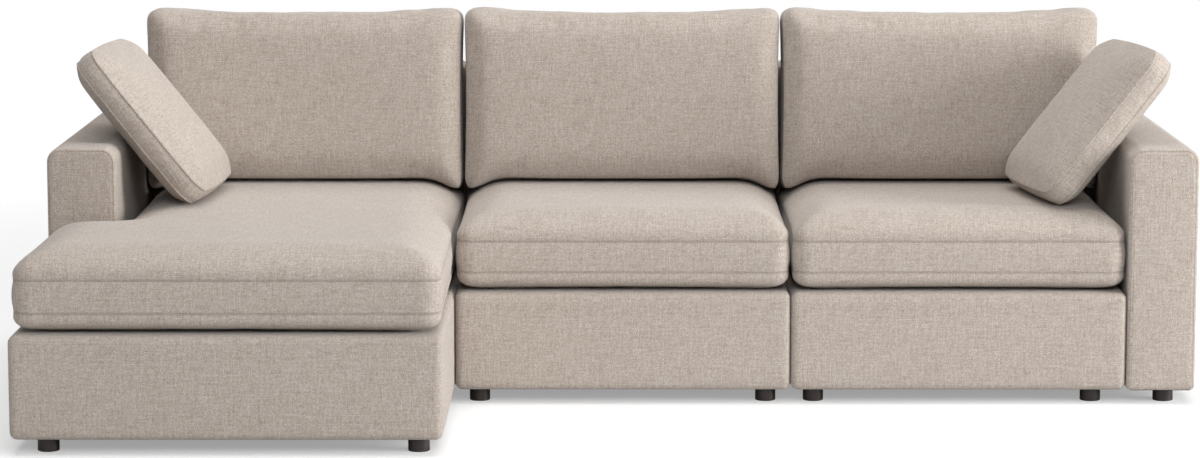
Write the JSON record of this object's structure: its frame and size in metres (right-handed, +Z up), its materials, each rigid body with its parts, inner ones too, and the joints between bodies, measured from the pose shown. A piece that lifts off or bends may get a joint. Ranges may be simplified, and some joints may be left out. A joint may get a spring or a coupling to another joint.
{
  "type": "sectional sofa",
  "caption": "Modular sectional sofa with a chaise: upholstered bases, arms and backs on short round feet, with loose box seat, back and throw cushions.",
  "frame": {"origin": "on the floor, under the middle of the whole sofa's box", "axes": "+X along the sofa from the chaise side to the other arm, +Y from front to back, +Z up"},
  "size_m": [2.858, 1.615, 0.9411],
  "materials": {
    "base_fabric": "matte",
    "cushion_fabric": "matte",
    "foam_core": "matte",
    "foam_board": "matte",
    "hardboard": "matte",
    "timber": "matte",
    "foot_black": "satin",
    "dust_cloth": "matte",
    "webbing": "matte",
    "zip": "satin",
    "steel": "satin"
  },
  "bodies": {
    "sofa_frame": {"arm_boards": "hardboard", "arm_bolts": "steel", "arm_padding": "foam_board", "back_bolts": "steel", "back_frames": "timber", "back_padding": "foam_board", "back_webbing": "webbing", "chaise_base_cover": "base_fabric", "chaise_base_padding": "foam_board", "chaise_rails": "timber", "connector_screws": "steel", "corner_blocks": "timber", "dust_covers": "dust_cloth", "feet": "foot_black", "foot_studs": "steel", "insert_nuts": "steel", "left_arm_cover": "base_fabric", "left_arm_frame": "timber", "left_back_cover": "base_fabric", "left_seat_base_cover": "base_fabric", "left_seat_rails": "timber", "middle_back_cover": "base_fabric", "middle_seat_base_cover": "base_fabric", "middle_seat_rails": "timber", "module_connectors": "steel", "right_arm_cover": "base_fabric", "right_arm_frame": "timber", "right_back_cover": "base_fabric", "right_seat_base_cover": "base_fabric", "right_seat_rails": "timber", "seat_base_padding": "foam_board", "seat_springs": "steel", "spring_clips": "steel", "tee_nuts": "steel"},
    "chaise_cushion": {"chaise_cushion_core": "foam_core", "chaise_cushion_cover": "cushion_fabric", "chaise_cushion_zip": "zip"},
    "middle_seat_cushion": {"middle_seat_cushion_core": "foam_core", "middle_seat_cushion_cover": "cushion_fabric", "middle_seat_cushion_zip": "zip"},
    "right_seat_cushion": {"right_seat_cushion_core": "foam_core", "right_seat_cushion_cover": "cushion_fabric", "right_seat_cushion_zip": "zip"},
    "left_back_cushion": {"left_back_cushion_core": "foam_core", "left_back_cushion_cover": "cushion_fabric", "left_back_cushion_zip": "zip"},
    "middle_back_cushion": {"middle_back_cushion_core": "foam_core", "middle_back_cushion_cover": "cushion_fabric", "middle_back_cushion_zip": "zip"},
    "right_back_cushion": {"right_back_cushion_core": "foam_core", "right_back_cushion_cover": "cushion_fabric", "right_back_cushion_zip": "zip"},
    "left_pillow": {"left_pillow_core": "foam_core", "left_pillow_cover": "cushion_fabric", "left_pillow_zip": "zip"},
    "right_pillow": {"right_pillow_core": "foam_core", "right_pillow_cover": "cushion_fabric", "right_pillow_zip": "zip"}
  },
  "joints": [
    {"name": "chaise_cushion_lift", "type": "slide", "parent": "sofa_frame", "child": "chaise_cushion", "axis": [0, 0, 1], "range_m": [0, 0.5]},
    {"name": "middle_seat_cushion_lift", "type": "slide", "parent": "sofa_frame", "child": "middle_seat_cushion", "axis": [0, 0, 1], "range_m": [0, 0.5]},
    {"name": "right_seat_cushion_lift", "type": "slide", "parent": "sofa_frame", "child": "right_seat_cushion", "axis": [0, 0, 1], "range_m": [0, 0.5]},
    {"name": "left_back_cushion_lift", "type": "slide", "parent": "chaise_cushion", "child": "left_back_cushion", "axis": [0, 0, 1], "range_m": [0, 0.5]},
    {"name": "middle_back_cushion_lift", "type": "slide", "parent": "middle_seat_cushion", "child": "middle_back_cushion", "axis": [0, 0, 1], "range_m": [0, 0.5]},
    {"name": "right_back_cushion_lift", "type": "slide", "parent": "right_seat_cushion", "child": "right_back_cushion", "axis": [0, 0, 1], "range_m": [0, 0.5]},
    {"name": "left_pillow_lift", "type": "slide", "parent": "chaise_cushion", "child": "left_pillow", "axis": [0, 0, 1], "range_m": [0, 0.5]},
    {"name": "right_pillow_lift", "type": "slide", "parent": "right_seat_cushion", "child": "right_pillow", "axis": [0, 0, 1], "range_m": [0, 0.5]}
  ]
}
